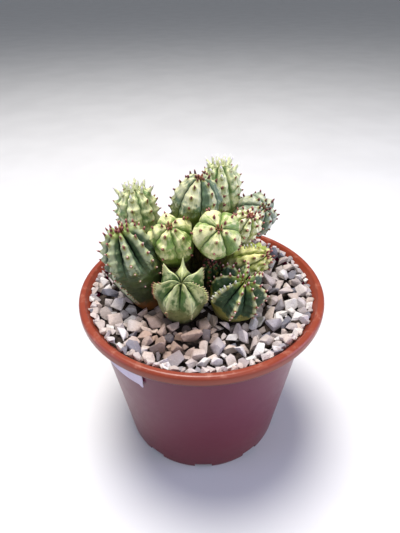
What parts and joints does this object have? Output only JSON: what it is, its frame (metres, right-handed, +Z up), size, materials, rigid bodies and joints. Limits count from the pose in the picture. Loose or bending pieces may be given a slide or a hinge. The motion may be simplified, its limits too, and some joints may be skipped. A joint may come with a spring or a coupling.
{
  "type": "potted variegated euphorbia pseudoglobosa",
  "caption": "Clustering variegated succulent of ribbed, tubercled globular heads on older stems, standing in gravel in a round tapered plastic nursery pot with a rolled rim.",
  "frame": {"origin": "middle of the pot's foot, on the surface it stands on", "axes": "+Z up along the pot's axis, -Y towards the front of the plant, where the two basal heads stand side by side"},
  "size_m": [0.085, 0.085, 0.1038],
  "materials": {
    "pot_plastic": "satin",
    "label_paper": "matte",
    "potting_mix": "matte",
    "gravel_stone": "matte",
    "corky_stem": "matte",
    "pale_flesh": "satin",
    "green_flesh": "satin"
  },
  "bodies": {
    "root": {"pot": "pot_plastic", "label": "label_paper", "soil": "potting_mix", "gravel": "gravel_stone", "older_stems": "corky_stem", "head_front": "pale_flesh", "head_front_right": "green_flesh", "head_front_left": "green_flesh", "head_centre": "pale_flesh", "head_middle_left": "pale_flesh", "head_shaded": "green_flesh", "head_bud_right": "pale_flesh", "head_low_right": "pale_flesh", "head_right": "green_flesh", "head_tall": "green_flesh", "head_back_left": "pale_flesh", "head_rear": "pale_flesh"}
  },
  "joints": []
}
